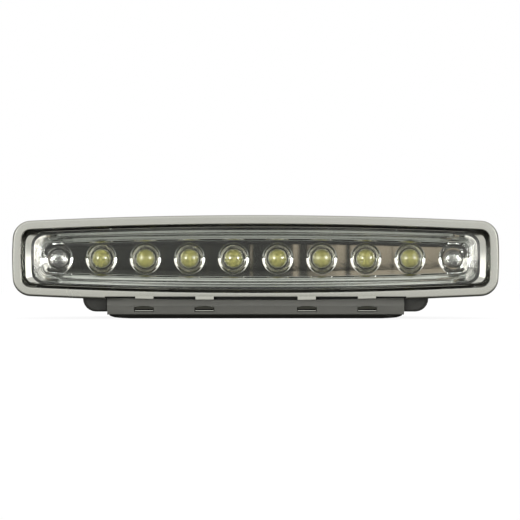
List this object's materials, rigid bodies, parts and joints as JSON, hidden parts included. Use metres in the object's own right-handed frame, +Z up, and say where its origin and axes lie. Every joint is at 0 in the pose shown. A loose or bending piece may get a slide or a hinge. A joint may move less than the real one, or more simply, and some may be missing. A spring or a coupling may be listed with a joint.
{
  "type": "daytime running light",
  "caption": "Slim LED daytime running light with a clear lens in a chrome bezel, clipped by snap tabs into a dark mounting bracket with slotted screw holes.",
  "frame": {"origin": "Below the middle of the lamp's box, on the surface that the bracket's foot stands on.", "axes": "+X to the right along the lamp as seen from its front, +Y from the front face to the rear, +Z up."},
  "size_m": [0.185, 0.0376, 0.0394],
  "materials": {
    "chrome_trim": "satin",
    "clear_lens": "gloss",
    "gasket_rubber": "matte",
    "reflector_coating": "polished",
    "led_resin": "gloss",
    "board_laminate": "satin",
    "screw_steel": "polished",
    "resistor_body": "satin",
    "diode_body": "satin",
    "housing_plastic": "satin",
    "grommet_rubber": "matte",
    "bracket_plastic": "satin"
  },
  "bodies": {
    "root": {"bezel": "chrome_trim", "lens": "clear_lens", "lens_seal": "gasket_rubber", "reflector": "reflector_coating", "led_1": "led_resin", "led_2": "led_resin", "led_3": "led_resin", "led_4": "led_resin", "led_5": "led_resin", "led_6": "led_resin", "led_7": "led_resin", "led_8": "led_resin", "circuit_board": "board_laminate", "reflector_screw_left": "screw_steel", "reflector_screw_right": "screw_steel", "resistor_1": "resistor_body", "resistor_2": "resistor_body", "resistor_3": "resistor_body", "resistor_4": "resistor_body", "polarity_diode": "diode_body", "housing": "housing_plastic", "cable_grommet": "grommet_rubber", "mounting_bracket": "bracket_plastic"}
  },
  "joints": []
}
